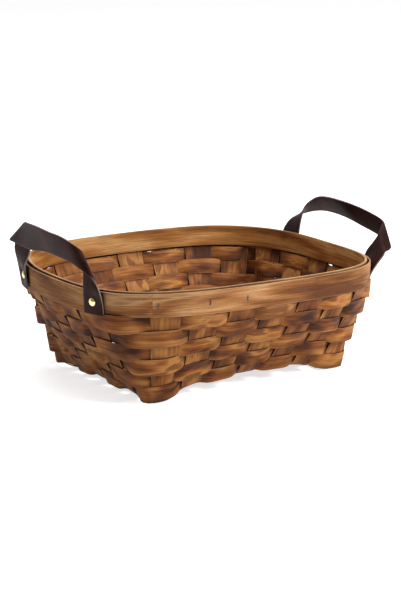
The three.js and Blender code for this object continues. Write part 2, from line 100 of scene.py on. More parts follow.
def rim_oval(angle):
    """The rim's oval at an angle around it."""
    c = np.cos(angle)
    s = np.sin(angle)
    x = (rim_length / 2 - rim_inset) * np.sign(c) * np.abs(c) ** (2 / rim_roundness)
    y = (rim_width / 2 - rim_inset) * np.sign(s) * np.abs(s) ** (2 / rim_roundness)
    return np.stack([x, y, band_bottom - rim_sag * np.cos(2 * angle)], -1)


def walked(points):
    """The length walked to each of a row of points."""
    steps = np.linalg.norm(np.diff(points, axis=0), axis=1)
    return np.concatenate([[0.0], np.cumsum(steps)])


oval_steps = 1440
turns = np.linspace(0, 1, oval_steps + 1)
oval_lengths = walked(rim_oval(turns * 2 * math.pi))
rim_total = oval_lengths[-1]


def oval_point(length):
    """The rim's oval at a length around it, from its right end counter-clockwise."""
    return rim_oval(2 * math.pi * np.interp(np.mod(length, rim_total), oval_lengths, turns))


def base_point(x, y, offset=0.0):
    """A point of the arched base, which slopes under the level rim."""
    x, y, offset = np.broadcast_arrays(np.asarray(x, float), y, offset)
    along_x = np.minimum(1, np.abs(x) / (base_length / 2 - foot_length))
    along_y = np.minimum(1, np.abs(y) / (base_width / 2 - foot_width))
    arch = arch_along * (1 - along_x ** arch_flatness) + arch_across * (1 - along_y ** arch_flatness)
    z = stake_thickness / 2 + arch + offset
    c = math.cos(lean)
    s = math.sin(lean)
    return np.stack([x * c - z * s, y, x * s + z * c], -1)


def smooth_curve(points, share, closed=False):
    """A centripetal curve through points, which doesn't overshoot, at shares of its way."""
    count = len(points)
    place = np.asarray(share, float) * (count if closed else count - 1)
    if closed:
        place = np.mod(place, count)
    index = np.minimum(np.floor(place).astype(int), count - 1 if closed else count - 2)
    part = (place - index)[..., None]
    if closed:
        p0, p1, p2, p3 = (points[(index + k) % count] for k in (-1, 0, 1, 2))
    else:
        ends = [2 * points[0] - points[1], *points, 2 * points[-1] - points[-2]]
        p0, p1, p2, p3 = (np.array(ends)[index + k] for k in (0, 1, 2, 3))
    d0, d1, d2 = (
        np.maximum(np.linalg.norm(b - a, axis=-1, keepdims=True) ** 0.5, 1e-6)
        for a, b in ((p0, p1), (p1, p2), (p2, p3))
    )
    t1 = ((p1 - p0) / d0 - (p2 - p0) / (d0 + d1) + (p2 - p1) / d1) * d1
    t2 = ((p2 - p1) / d1 - (p3 - p1) / (d1 + d2) + (p3 - p2) / d2) * d1
    bend = -3 * p1 + 3 * p2 - 2 * t1 - t2
    twist = 2 * p1 - 2 * p2 + t1 + t2
    return p1 + t1 * part + bend * part ** 2 + twist * part ** 3


# The uprights stand farther apart at the rim than at the base, and lean a little to one side.
front_spread = 42.0
front_shift = 7.0
back_spread = 43.5
end_spread = 41.0
end_shift = 17.0


def make_stations():
    """The uprights and the corners in turn, counter-clockwise from the front left. Each has a
    place on the base's edge and a length around the rim."""
    quarter = rim_total / 4
    half_length = base_length / 2
    half_width = base_width / 2

    def cross(step, side):
        front = 3 * quarter + step * front_spread + front_shift
        rear = 5 * quarter - step * back_spread
        length = front if side < 0 else rear
        return ("cross", step, side, base_point(step * cross_pitch, side * half_width), length)

    def long(step, side):
        middle = (4 if side > 0 else 6) * quarter
        length = middle + side * (step * end_spread + end_shift)
        return ("long", step, side, base_point(side * half_length, step * long_pitch), length)

    def corner(x, y):
        return ("corner", x, y, base_point(x * half_length, y * half_width), None)

    rows = [cross(step, -1) for step in cross_steps] + [corner(1, -1)]
    rows += [long(step, 1) for step in long_steps] + [corner(1, 1)]
    rows += [cross(step, 1) for step in cross_steps[::-1]] + [corner(-1, 1)]
    rows += [long(step, -1) for step in long_steps[::-1]] + [corner(-1, -1)]
    lengths = [row[4] for row in rows]
    for i, length in enumerate(lengths):
        if length is None:
            after = lengths[i + 1] if i + 1 < len(rows) else lengths[0] + rim_total
            lengths[i] = (lengths[i - 1] + after) / 2
    return rows, np.array(lengths)


stations, station_lengths = make_stations()
station_bases = np.array([row[3] for row in stations])
station_shares = np.arange(len(stations) + 1) / len(stations)
station_rims = np.append(station_lengths, station_lengths[0] + rim_total)
wall_curve = 1.1
nudge = 1e-3


def wall_point(rise, share):
    """The wall's middle surface, from rise 0 at the base's edge to 1 at the bottom of the bands."""
    share = np.mod(share, 1)
    base = smooth_curve(station_bases, share, closed=True)
    rim = oval_point(np.interp(share, station_shares, station_rims))
    rise = np.broadcast_to(rise, share.shape)
    spread = 1 - np.maximum(1 - rise, 0) ** wall_curve
    x = base[..., 0] + (rim[..., 0] - base[..., 0]) * spread
    y = base[..., 1] + (rim[..., 1] - base[..., 1]) * spread
    z = base[..., 2] + (rim[..., 2] - base[..., 2]) * rise
    return np.stack([x, y, z], -1)


def band_point(height, length, offset=0.0):
    """The surface between the bands, at a height over their lower edge, or off it by an offset."""
    length = np.asarray(length, float)
    along = oval_point(length + nudge) - oval_point(length - nudge)
    outward = np.stack([along[..., 1], -along[..., 0], np.zeros(along.shape[:-1])], -1)
    outward /= np.linalg.norm(outward, axis=-1, keepdims=True)
    height, _ = np.broadcast_arrays(np.asarray(height, float), length)
    lean_out = (band_flare * height / band_height + offset)[..., None]
    higher = np.stack([0 * height, 0 * height, height], -1)
    return oval_point(length) + outward * lean_out + higher


level_steps = 8
wall_slant = np.linalg.norm(station_bases[0] - oval_point(station_lengths[0]))
level_count = len(stations) * level_steps
level_shares = np.arange(level_count + 1) / level_count


def share_beside(index, rise, distance):
    """The share that lies a distance along the level curve at a rise from a station."""
    lengths = walked(wall_point(rise, level_shares))
    place = np.mod(lengths[index * level_steps] + distance, lengths[-1])
    return np.interp(place, lengths, level_shares)


def add_node(tree, kind, inputs=None, **settings):
    """Adds a node, sets its options and gives its inputs a value, or a link from a socket or from
    the first output of another node."""
    node = tree.nodes.new(kind)
    for name, value in settings.items():
        setattr(node, name, value)
    for key, value in (inputs or {}).items():
        if isinstance(value, bpy.types.Node):
            value = value.outputs[0]
        if isinstance(value, bpy.types.NodeSocket):
            tree.links.new(value, node.inputs[key])
        else:
            node.inputs[key].default_value = value
    return node


def strip_tree():
    """A flat strip: gives a sheet through the middle of a splint, band or strap its thickness,
    thinner edges and the small waves of a split or cut edge and face."""
    tree = bpy.data.node_groups.new("flat strip", "GeometryNodeTree")
    face = tree.interface
    face.new_socket("Geometry", in_out="OUTPUT", socket_type="NodeSocketGeometry")
    face.new_socket("Geometry", in_out="INPUT", socket_type="NodeSocketGeometry")
    for name in ("Thickness", "Edge thinning", "Edge wave", "Face wave", "Wave length", "Seed"):
        face.new_socket(name, in_out="INPUT", socket_type="NodeSocketFloat")
    face.new_socket("Material", in_out="INPUT", socket_type="NodeSocketMaterial")
    given = add_node(tree, "NodeGroupInput").outputs
    along, across, full, outward, sideways = (
        add_node(tree, "GeometryNodeInputNamedAttribute", {"Name": name}, data_type=kind)
        for name, kind in (
            ("along", "FLOAT"), ("across", "FLOAT"), ("full", "FLOAT"),
            ("outward", "FLOAT_VECTOR"), ("sideways", "FLOAT_VECTOR"),
        )
    )
    waves_along = add_node(tree, "ShaderNodeMath", {0: along, 1: given["Wave length"]}, operation="DIVIDE")

    def wave(row, seed, amount):
        """A smooth wave along the strip, up to an amount either way."""
        place = add_node(tree, "ShaderNodeCombineXYZ", {"X": waves_along, "Y": row, "Z": seed})
        noise = add_node(tree, "ShaderNodeTexNoise", {"Vector": place, "Scale": 1.0, "Detail": 2.0})
        level = add_node(tree, "ShaderNodeMath", {0: noise, 1: 2.0, 2: -1.0}, operation="MULTIPLY_ADD")
        return add_node(tree, "ShaderNodeMath", {0: level, 1: amount}, operation="MULTIPLY")

    # How far apart in the noise the two edges are, and the edges and the faces, and how fast the
    # waves and the thinning grow toward an edge. Edges sharper than the crease angle stay crisp.
    edges_apart = 4.3
    edge_reach = 3.0
    face_stretch = 0.6
    face_seed = 50.0
    thin_reach = 12.0
    crease_angle = 0.8
    edge_side = add_node(tree, "ShaderNodeMath", {0: across}, operation="SIGN")
    from_middle = add_node(tree, "ShaderNodeMath", {0: across}, operation="ABSOLUTE")
    row = add_node(tree, "ShaderNodeMath", {0: edge_side, 1: edges_apart}, operation="MULTIPLY")
    edge_wave = wave(row, given["Seed"], given["Edge wave"])
    reach = add_node(tree, "ShaderNodeMath", {0: from_middle, 1: edge_reach}, operation="POWER")
    edge_move = add_node(tree, "ShaderNodeMath", {0: edge_wave, 1: reach}, operation="MULTIPLY")
    edge_move = add_node(tree, "ShaderNodeMath", {0: edge_move, 1: edge_side}, operation="MULTIPLY")
    row = add_node(tree, "ShaderNodeMath", {0: across, 1: face_stretch}, operation="MULTIPLY")
    other_seed = add_node(tree, "ShaderNodeMath", {0: given["Seed"], 1: face_seed}, operation="ADD")
    face_wave = wave(row, other_seed, given["Face wave"])
    thin = add_node(tree, "ShaderNodeMath", {0: from_middle, 1: thin_reach}, operation="POWER")
    thin = add_node(tree, "ShaderNodeMath", {0: thin, 1: given["Edge thinning"]}, operation="MULTIPLY")
    share = add_node(tree, "ShaderNodeMath", {0: 1.0, 1: thin}, operation="SUBTRACT")
    share = add_node(tree, "ShaderNodeMath", {0: share, 1: full}, operation="MULTIPLY")
    thickness = add_node(tree, "ShaderNodeMath", {0: given["Thickness"], 1: share}, operation="MULTIPLY")
    sink = add_node(tree, "ShaderNodeMath", {0: thickness, 1: -0.5, 2: face_wave}, operation="MULTIPLY_ADD")
    beside = add_node(tree, "ShaderNodeVectorMath", {0: sideways, "Scale": edge_move}, operation="SCALE")
    inward = add_node(tree, "ShaderNodeVectorMath", {0: outward, "Scale": sink}, operation="SCALE")
    moves = add_node(tree, "ShaderNodeVectorMath", {0: beside, 1: inward}, operation="ADD")
    inner = add_node(tree, "GeometryNodeSetPosition", {"Geometry": given["Geometry"], "Offset": moves})
    raised = add_node(tree, "GeometryNodeExtrudeMesh", {
        "Mesh": inner, "Offset": outward, "Offset Scale": thickness, "Individual": False,
    })
    under = add_node(tree, "GeometryNodeFlipFaces", {"Mesh": inner})
    both = add_node(tree, "GeometryNodeJoinGeometry")
    tree.links.new(raised.outputs["Mesh"], both.inputs[0])
    tree.links.new(under.outputs[0], both.inputs[0])
    closed = add_node(tree, "GeometryNodeMergeByDistance", {"Geometry": both, "Distance": 1e-6})
    smooth = add_node(tree, "GeometryNodeSetShadeSmooth", {"Geometry": closed}, domain="FACE")
    angle = add_node(tree, "GeometryNodeInputMeshEdgeAngle").outputs["Unsigned Angle"]
    sharp = add_node(tree, "ShaderNodeMath", {0: angle, 1: crease_angle}, operation="GREATER_THAN")
    creased = add_node(tree, "GeometryNodeSetShadeSmooth", {
        "Geometry": smooth, "Selection": sharp, "Shade Smooth": False,
    }, domain="EDGE")
    real = add_node(tree, "GeometryNodeRealizeInstances", {"Geometry": creased})
    done = add_node(tree, "GeometryNodeSetMaterial", {"Geometry": real, "Material": given["Material"]})
    add_node(tree, "NodeGroupOutput", {"Geometry": done})
    return tree


flat_strip = strip_tree()


def bake(piece, tree, values):
    """Runs a node tree on a piece with named inputs, and leaves its result as a plain mesh."""
    modifier = piece.modifiers.new(tree.name, "NODES")
    modifier.node_group = tree
    for socket in tree.interface.items_tree:
        if socket.in_out == "INPUT" and socket.name in values:
            modifier[socket.identifier] = values[socket.name]
    bpy.context.view_layer.update()
    evaluated = piece.evaluated_get(bpy.context.evaluated_depsgraph_get())
    baked = bpy.data.meshes.new_from_object(evaluated)
    guide = piece.data
    piece.modifiers.clear()
    piece.data = baked
    baked.name = piece.name
    bpy.data.meshes.remove(guide)
    return piece


# How far apart in the wood two strips are cut, and a ring so long that it bends no grain.
seeds_apart = 400.0
no_ring = 1e6


def make_strip(
    name, points, across, material, *, thickness, seed, thinning=0.45, edge_wave=0.4, face_wave=0.25,
    wave_length=22.0, outside=None, full=None, ring=no_ring,
):
    """A closed strip from a grid of points through its middle, rows along it and columns across.
    It faces outside, where that is given, and is as full at each row as full says. Its grain meets
    itself again after the length ring, so that it runs on over a band's lap."""
    rows, columns = points.shape[:2]
    grid = stood(points)
    along_way = np.gradient(grid, axis=0)
    across_way = np.gradient(grid, across, axis=1)
    outward = np.cross(along_way, across_way)
    outward /= np.linalg.norm(outward, axis=-1, keepdims=True)
    flipped = False
    if outside is not None:
        turn = np.array(standing.to_3x3())
        flipped = np.sum(outward[rows // 2, columns // 2] * (turn @ np.array(outside, float))) < 0
    if flipped:
        outward = -outward
    sideways = across_way / np.linalg.norm(across_way, axis=-1, keepdims=True)
    faces = []
    for i in range(rows - 1):
        for j in range(columns - 1):
            a = i * columns + j
            b = a + columns
            quad = (a, b, b + 1, a + 1)
            faces.append(quad[::-1] if flipped else quad)
    mesh = bpy.data.meshes.new(name)
    mesh.from_pydata(grid.reshape(-1, 3).tolist(), [], faces)
    half = np.linalg.norm(points[:, -1] - points[:, 0], axis=-1).mean() / 2
    along_grid = np.repeat(walked(points[:, columns // 2])[:, None], columns, 1)
    across_grid = np.repeat(across[None, :], rows, 0)
    full_grid = np.ones_like(along_grid) if full is None else np.repeat(full[:, None], columns, 1)
    radius = ring / (2 * math.pi)
    turned_by = along_grid / radius
    grain = np.stack([
        radius * np.sin(turned_by),
        radius * (1 - np.cos(turned_by)),
        across_grid * half + seeds_apart * seed,
    ], -1)
    for key, kind, values in (
        ("along", "FLOAT", along_grid / 1000),
        ("across", "FLOAT", across_grid),
        ("full", "FLOAT", full_grid),
        ("grain", "FLOAT_VECTOR", grain),
        ("outward", "FLOAT_VECTOR", outward),
        ("sideways", "FLOAT_VECTOR", sideways),
    ):
        layer = mesh.attributes.new(key, kind, "POINT")
        field = "vector" if kind == "FLOAT_VECTOR" else "value"
        layer.data.foreach_set(field, values.astype(np.float32).ravel())
    strip = bpy.data.objects.new(name, mesh)
    bpy.context.scene.collection.objects.link(strip)
    return bake(strip, flat_strip, {
        "Thickness": thickness / 1000,
        "Edge thinning": thinning,
        "Edge wave": edge_wave / 1000,
        "Face wave": face_wave / 1000,
        "Wave length": wave_length / 1000,
        "Seed": float(seed),
        "Material": material,
    })


def colour(code):
    """An sRGB hex colour as the linear colour that a shader takes."""
    parts = [int(code[i:i + 2], 16) / 255 for i in (1, 3, 5)]
    return tuple(v / 12.92 if v <= 0.04045 else ((v + 0.055) / 1.055) ** 2.4 for v in parts) + (1.0,)


def new_material(name):
    """An empty node material with its shader."""
    material = bpy.data.materials.new(name)
    material.use_nodes = True
    tree = material.node_tree
    tree.nodes.clear()
    shader = add_node(tree, "ShaderNodeBsdfPrincipled")
    add_node(tree, "ShaderNodeOutputMaterial", {"Surface": shader})
    return material, tree, shader


def set_stops(ramp, tones):
    """Gives a colour ramp its places and their tones."""
    stops = ramp.color_ramp.elements
    while len(stops) < len(tones):
        stops.new(0.5)
    for stop, (place, tone) in zip(stops, tones):
        stop.position = place
        stop.color = colour(tone)


def stained_splint(name, tones, patch_length, mauve_share, dark_share, edge_share, split_share=0.0):
    """Split wood with an uneven brown stain, matt with a faint sheen. The eye sees light and dark
    patches along the strip, streaks, splits, fine grain, paler edges and painted shade where strips cross."""
    material, tree, shader = new_material(name)
    grain = add_node(tree, "ShaderNodeAttribute", attribute_name="grain").outputs["Vector"]
    across = add_node(tree, "ShaderNodeAttribute", attribute_name="across").outputs["Fac"]

    def pattern(length, width, detail, bent=0.0, shift=0.0):
        """A pattern stretched along the grain, of a length and width in millimetres."""
        place = add_node(tree, "ShaderNodeMapping", {
            "Vector": grain, "Scale": (1 / length, 1 / length, 1 / width), "Location": (shift, shift, 0.0),
        })
        return add_node(tree, "ShaderNodeTexNoise", {
            "Vector": place, "Scale": 1.0, "Detail": detail, "Roughness": 0.55, "Distortion": bent,
        })

    def laid_over(wood, where, start, full, most, tone):
        """Lays a tone over the wood: none at a pattern's value start, and most of it from full."""
        amount = add_node(tree, "ShaderNodeMapRange", {
            "Value": where, "From Min": start, "From Max": full, "To Min": 0.0, "To Max": most,
        })
        return add_node(tree, "ShaderNodeMixRGB", {0: amount, 1: wood, 2: colour(tone)})

    patches = pattern(patch_length, 26, detail=2.0, bent=0.5)
    streaks = pattern(60, 3.0, detail=4.0, bent=0.4, shift=7.0)
    whole = pattern(230, 600, detail=1.0, shift=43.0)
    mauve = pattern(50, 12, detail=2.0, bent=0.5, shift=19.0)
    scorch = pattern(38, 20, detail=1.5, bent=0.5, shift=31.0)
    splits = pattern(70, 1.0, detail=2.0, bent=0.2, shift=23.0)
    fine = pattern(22, 0.7, detail=3.0, shift=3.0)
    pores = pattern(6, 0.25, detail=2.0, shift=11.0)
    edge = add_node(tree, "ShaderNodeMath", {0: across}, operation="ABSOLUTE")
    painted_crevice_shade = add_node(tree, "ShaderNodeAmbientOcclusion", {"Distance": 0.009}, samples=8).outputs["AO"]

    stain = add_node(tree, "ShaderNodeMath", {0: streaks, 1: 0.3, 2: patches}, operation="MULTIPLY_ADD")
    stain = add_node(tree, "ShaderNodeMath", {0: whole, 1: 0.6, 2: stain}, operation="MULTIPLY_ADD")
    depth = add_node(tree, "ShaderNodeMapRange", {"Value": stain, "From Min": 0.77, "From Max": 1.13})
    wood = add_node(tree, "ShaderNodeValToRGB", {0: depth})
    set_stops(wood, tones)
    wood = laid_over(wood, mauve, 0.60 - mauve_share, 0.72 - mauve_share, 0.35, "#7d5a49")
    wood = laid_over(wood, scorch, 0.60 - dark_share, 0.82 - dark_share, 0.7, "#40200f")
    wood = laid_over(wood, splits, 0.60 - split_share, 0.70 - split_share, 0.5, "#2f180b")
    light_and_dark = add_node(tree, "ShaderNodeMapRange", {
        "Value": fine, "From Min": 0.3, "From Max": 0.7, "To Min": 0.74, "To Max": 1.16,
    })
    wood = add_node(tree, "ShaderNodeMixRGB", {0: 1.0, 1: wood, 2: light_and_dark}, blend_type="MULTIPLY")
    wood = laid_over(wood, pores, 0.62, 0.70, 0.45, "#2a140a")
    wood = laid_over(wood, edge, 0.95, 1.0, edge_share, "#b3967a")
    # Painted shade: ambient occlusion darkens the wood toward near black where strips lie close over each
    # other, in the crevices where they cross.
    wood = laid_over(wood, painted_crevice_shade, 0.92, 0.25, 0.95, "#1c0e07")
    roughness = add_node(tree, "ShaderNodeMapRange", {
        "Value": fine, "From Min": 0.3, "From Max": 0.7, "To Min": 0.78, "To Max": 0.58,
    })
    height = add_node(tree, "ShaderNodeMath", {0: fine, 1: 0.5, 2: streaks}, operation="MULTIPLY_ADD")
    bump = add_node(tree, "ShaderNodeBump", {"Height": height, "Strength": 0.7, "Distance": 0.0005})
    shader.inputs["Specular IOR Level"].default_value = 0.19
    tree.links.new(wood.outputs[0], shader.inputs["Base Color"])
    tree.links.new(roughness.outputs[0], shader.inputs["Roughness"])
    tree.links.new(bump.outputs[0], shader.inputs["Normal"])
    return material


# The stakes took their stain evenly, and show mid brown with short light patches.
stake_wood = stained_splint(
    "stained poplar, stakes",
    [(0.0, "#4e2a14"), (0.3, "#7c4824"), (0.58, "#a16633"), (0.85, "#bd8347"), (1.0, "#8a552c")],
    patch_length=48, mauve_share=0.0, dark_share=0.02, edge_share=0.2,
)
strip_columns = np.array([-1, -0.95, -0.75, -0.4, 0, 0.4, 0.75, 0.95, 1])
weave_lift = 0.72
crossing_half = 10.0
crossing_slope = 8.0
flat_end = 2.5
upright_start = 3.4
upright_top = band_height - 3
upright_rows = 28
top_rows = 9
fold_passes = 3


def upright_row(index, rise, hand):
    """A row of points across an upright at a rise of the wall."""
    width = stake_width + (upright_width - stake_width) * rise
    return wall_point(rise, share_beside(index, rise, hand * strip_columns / 2 * width))


def upright(kind, step, side):
    """The rows of one upright, from the base's edge up to its end between the bands."""
    index = next(i for i, row in enumerate(stations) if row[:3] == (kind, step, side))
    hand = -side if kind == "cross" else side
    rises = np.linspace(upright_start / wall_slant, 1 - 1 / wall_slant, upright_rows)
    rows = [upright_row(index, rise, hand) for rise in rises]
    for height in np.linspace(1, upright_top, top_rows):
        places = station_lengths[index] + hand * strip_columns / 2 * upright_width
        rows.append(band_point(height, places))
    return rows


def rounded(points, passes):
    """Rows of points with their folds rounded, and both ends kept."""
    for _ in range(passes):
        points = points.copy()
        points[1:-1] = (points[:-2] + 2 * points[1:-1] + points[2:]) / 4
    return points


def stake_points(kind, step):
    """A whole stake: down one side, over and under the others in the base, and up the other side."""
    is_cross = kind == "cross"
    others = long_steps if is_cross else cross_steps
    pitch = long_pitch if is_cross else cross_pitch
    half = (base_width if is_cross else base_length) / 2
    own = step * (cross_pitch if is_cross else long_pitch)
    knots = []
    for other in others:
        cross_is_above = (step + other) % 2 == 0
        lift = weave_lift if cross_is_above == is_cross else -weave_lift
        knots += [(other * pitch - crossing_half, lift), (other * pitch + crossing_half, lift)]
    first = [(-half, 0.0), (knots[0][0] - crossing_slope, 0.0)]
    last = [(knots[-1][0] + crossing_slope, 0.0), (half, 0.0)]
    knots = first + knots + last
    base_rows = int(half)
    places = np.linspace(-(half - flat_end), half - flat_end, base_rows)
    lifts = np.interp(places, [k[0] for k in knots], [k[1] for k in knots])
    middle = []
    for place, lift in zip(places, lifts):
        beside = own + strip_columns / 2 * stake_width
        x, y = (beside, place) if is_cross else (place, beside)
        middle.append(base_point(x, y, lift))
    rows = upright(kind, step, -1)[::-1] + middle + upright(kind, step, 1)
    return rounded(np.array(rows), fold_passes)


def put(piece, node, body):
    """Stands a piece in for its CAD node on a body."""
    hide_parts(node)
    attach(piece, body)


for kind, steps, first_seed in (("cross", cross_steps, 3), ("long", long_steps, 23)):
    for i, step in enumerate(steps):
        name = f"{kind}_stake_{i + 1}"
        stake = make_strip(
            f"woven_{name}", stake_points(kind, step), strip_columns, stake_wood,
            outside=(0, 0, -1), thickness=stake_thickness, seed=first_seed + i,
            edge_wave=0.5, face_wave=0.08,
        )
        put(stake, name, "basket")

# Weavers
# Six splints of the same wood run around the wall, outside one upright and inside the next, each
# row one upright on from the row above. Each one's ends lap behind an upright at the left end.
weaver_count = 6
weaver_thickness = 0.9
bottom_gap = 2.2
top_overlap = 0.6
row_overlap = 0.5

# How far a weaver swings out over one upright and in behind the next, how sharply it crosses over
# between them, and how far its edges tip where it crosses and how much less on an upright.
swing_out = 2.5
swing_sharpness = 2.2
tip_crossing = 1.9
tip_eased = 0.9
lap_depth = 1.1
lap_length = 0.3
row_step = 0.085
cup_height = 0.15
usual_tilt = 1.1
usual_shift = 0.3
wood_seeds = (121, 62, 63, 64, 65, 66)
shape_seed = 40
share_nudge = 1e-4

# The weavers show the most uneven stain, from scorched and mauve patches to light ones.
weaver_wood = stained_splint(
    "stained poplar, weavers",
    [(0.0, "#3a1d0e"), (0.22, "#68391a"), (0.48, "#955829"), (0.78, "#c08345"), (1.0, "#845028")],
    patch_length=55, mauve_share=0.04, dark_share=0.06, edge_share=0.3,
)

# The weavers stand off the wall where they go around a corner, most in the top row. At the back
# left corner the third and fifth rows stand out farther, and the even ones a little less.
corner_bulge = 5.5
bulge_fade = 1.6
back_left_out = 4.2
back_left_in = 0.6
before_back_left = 2 * len(cross_steps) + len(long_steps) - 1
left_middle = before_back_left + 3


def weaver_points(row, seed):
    """A weaver's rows of points, around the wall and lapped behind an upright at the left end."""
    chance = np.random.default_rng(seed)
    bottom = bottom_gap / wall_slant
    top = 1 + top_overlap / wall_slant
    pitch = (top - bottom) / weaver_count
    rise = bottom + pitch * (weaver_count - row + 0.5)
    half = pitch / 2 + row_overlap / wall_slant
    lengths = walked(wall_point(rise, level_shares))
    uprights = [i for i, station in enumerate(stations) if station[0] != "corner"]
    count = len(uprights)
    starts = np.array([lengths[i * level_steps] for i in uprights])
    first = left_middle if row % 2 == 0 else left_middle - 1
    tilts = chance.normal(0, usual_tilt, count)
    shifts = chance.normal(0, usual_shift, count)
    rows = []
    for step in np.arange(-lap_length, count + lap_length, row_step):
        i = math.floor(step)
        place = step - i
        here = (first + i) % count
        after = (here + 1) % count
        gap = (starts[after] - starts[here]) % lengths[-1]
        side = 1 if (row + first + i) % 2 == 0 else -1
        swing = math.cos(math.pi * place)
        arc = math.sin(math.pi * place)
        lapped = min(1, max(0, (step - count + 1 - lap_length) / lap_length))
        over = math.tanh(swing_sharpness * swing) / math.tanh(swing_sharpness)
        tip = tip_crossing - tip_eased * abs(over)
        offset = side * swing_out * over - lap_depth * lapped
        if (uprights[after] - uprights[here]) % len(stations) == 2:
            bulge = corner_bulge * math.exp((1 - row) / bulge_fade)
            if here == before_back_left and row > 1:
                bulge += back_left_out if row % 2 == 1 else -back_left_in
            offset += bulge * arc ** 2
        share = np.interp(np.mod(starts[here] + gap * place, lengths[-1]), lengths, level_shares)
        easing = (1 - swing) / 2
        tilt = tilts[here] + (tilts[after] - tilts[here]) * easing
        shift = shifts[here] + (shifts[after] - shifts[here]) * easing
        rises = rise + half * strip_columns + (shift + 0.3 * tilt * arc) / wall_slant
        shares = np.full(len(strip_columns), share)
        points = wall_point(rises, shares)
        along = wall_point(rises, shares + share_nudge) - wall_point(rises, shares - share_nudge)
        higher = wall_point(rises + nudge, shares) - points
        outward = np.cross(along, higher)
        outward /= np.linalg.norm(outward, axis=-1, keepdims=True)
        cup = cup_height * side * swing * (1 - strip_columns ** 2)
        rows.append(points + outward * (offset + cup - tip * strip_columns)[:, None])
    return np.array(rows)


for row, seed in enumerate(wood_seeds, start=1):
    weaver = make_strip(
        f"woven_weaver_{row}", weaver_points(row, shape_seed + row), strip_columns, weaver_wood,
        thickness=weaver_thickness, seed=seed, edge_wave=0.5, face_wave=0.12, wave_length=26,
    )
    put(weaver, f"weaver_{row}", "basket")

# Rim bands
# Two wide bands of thicker splint hold the stake ends between them. The inner one is thicker than
# the outer one, stands a little higher and shows its paler top edge. The ends of each are lapped,
# and shaved thin where they lie on each other.
inner_thickness = 3.0
inner_bottom = 3.0
inner_top = band_height + 1.5
outer_start = station_lengths[0] - 13
outer_lap = 112.0
inner_start = rim_total / 2 + 20
inner_lap = 70.0
inner_rise = 2.5
rise_place = 115.0
rise_reach = 55.0
band_rows = 380

# Shares of a band's full thickness: at its shaved outer end, in its lap and at its inner end.
thin_end = 0.05
lap_share = 0.88
last_end = 0.02

# The bands are paler than the wall, with longer patches, fine splits and light edges.
band_wood = stained_splint(
    "stained poplar, bands",
    [(0.0, "#663b1e"), (0.28, "#8c572e"), (0.52, "#ad7646"), (0.8, "#cb9b6a"), (1.0, "#a06c42")],
    patch_length=120, mauve_share=-0.03, dark_share=-0.04, edge_share=0.5, split_share=0.04,
)

# The inner band is the palest: its face and its top edge are painted lighter than the outer band's, as
# painted light on the shaded inside of the basket.
inner_band_painted_lighter = stained_splint(
    "stained poplar, inner band",
    [(0.0, "#85522a"), (0.28, "#a0682f"), (0.52, "#bb8248"), (0.8, "#d3a166"), (1.0, "#b07a42")],
    patch_length=130, mauve_share=-0.05, dark_share=-0.06, edge_share=0.5,
)
band_columns = np.array([-1, -0.97, -0.88, -0.6, -0.2, 0.2, 0.6, 0.88, 0.97, 1])


def lapped_band(start, lap, thickness, bottom, top, facing, peak=0.0):
    """A band from its outer end all around to its inner end, and how full its thickness is. Its
    top edge rises by a peak at the back of the left end."""
    places = np.linspace(0, rim_total + lap, band_rows)
    opening = np.clip(places / lap, 0, 1)
    closing = np.clip((places - rim_total) / lap, 0, 1)
    full = np.where(
        closing > 0, lap_share * (1 - closing) + last_end, thin_end + (1 - thin_end) * opening,
    )
    shift = np.where(closing > 0, (full - 1) / 2, (1 - full) / 2) * thickness
    rows = []
    for place, moved in zip(places, shift):
        from_peak = (start + place + rise_place) % rim_total - rim_total / 2
        rise = peak * math.exp(-(from_peak / rise_reach) ** 2)
        heights = bottom + (top + rise - bottom) * (band_columns + 1) / 2
        length = np.full(len(heights), start + place)
        rows.append(band_point(heights, length, facing * (wall_offset + thickness / 2 + moved)))
    return np.array(rows), full


points, full = lapped_band(outer_start, outer_lap, band_thickness, 0, band_height, facing=1)
outer = make_strip(
    "outer_band", points, band_columns, band_wood, full=full, thickness=band_thickness,
    seed=78, ring=rim_total, edge_wave=0.5, face_wave=0.15, wave_length=45, thinning=0.35,
)
put(outer, "outer_rim_band", "basket")
points, full = lapped_band(
    inner_start, inner_lap, inner_thickness, inner_bottom, inner_top, facing=-1, peak=inner_rise,
)
inner = make_strip(
    "inner_band", points, band_columns, inner_band_painted_lighter, full=full, thickness=inner_thickness,
    seed=72, ring=rim_total, edge_wave=0.45, face_wave=0.15, wave_length=60, thinning=0.3,
)
put(inner, "inner_rim_band", "basket")

# Leather straps
# Each handle is one strap of dark leather with a tab flat on the outer band at both ends, held by
# a rivet. It bends just above its tabs, and its loop rests where it has settled in use.
strap_width = 26.0
strap_thickness = 2.0
tab_spacing = 148.0
tab_offset = wall_offset + band_thickness + clearance + strap_thickness / 2
tab_top = band_height - 0.8
hinge_height = 1.2
rivet_height = band_height - 11
held_radius = 4.5
freeing_length = 7.5
tab_rows = 10
loop_rows = 130
strap_passes = 4

# Points along the middle of each loop, and the way across the strap there. A point is given as
# millimetres out from the rim's end, a share of the way to the rivets, and millimetres above the
# rim. The way across is in half widths of the strap.
left_rest = [
    ((-4.5, -0.97, 16.5), (0.08, 0.88, 0.73)),
    ((0, -1.01, 25.5), (0.15, 0.65, 1)),
    ((6, -0.91, 32.5), (0.19, 0.46, 1)),
    ((10, -0.68, 38), (0.23, 0.46, 0.98)),
    ((12, -0.33, 40), (0.21, 0.23, 0.92)),
    ((12, 0, 40.4), (0.21, 0, 0.97)),
    ((10.5, 0.38, 38.1), (0.1, -0.2, 1.09)),
    ((8, 0.72, 37.4), (-0.04, -0.6, 0.98)),
    ((6.5, 0.9, 37), (-0.15, -1.08, 0.88)),
    ((2.5, 0.94, 36), (-0.18, -1.12, 0.85)),
    ((0.5, 0.96, 31.5), (0, -1, 0.72)),
    ((-2.2, 0.97, 17), (-0.18, -1.05, 0.15)),
]
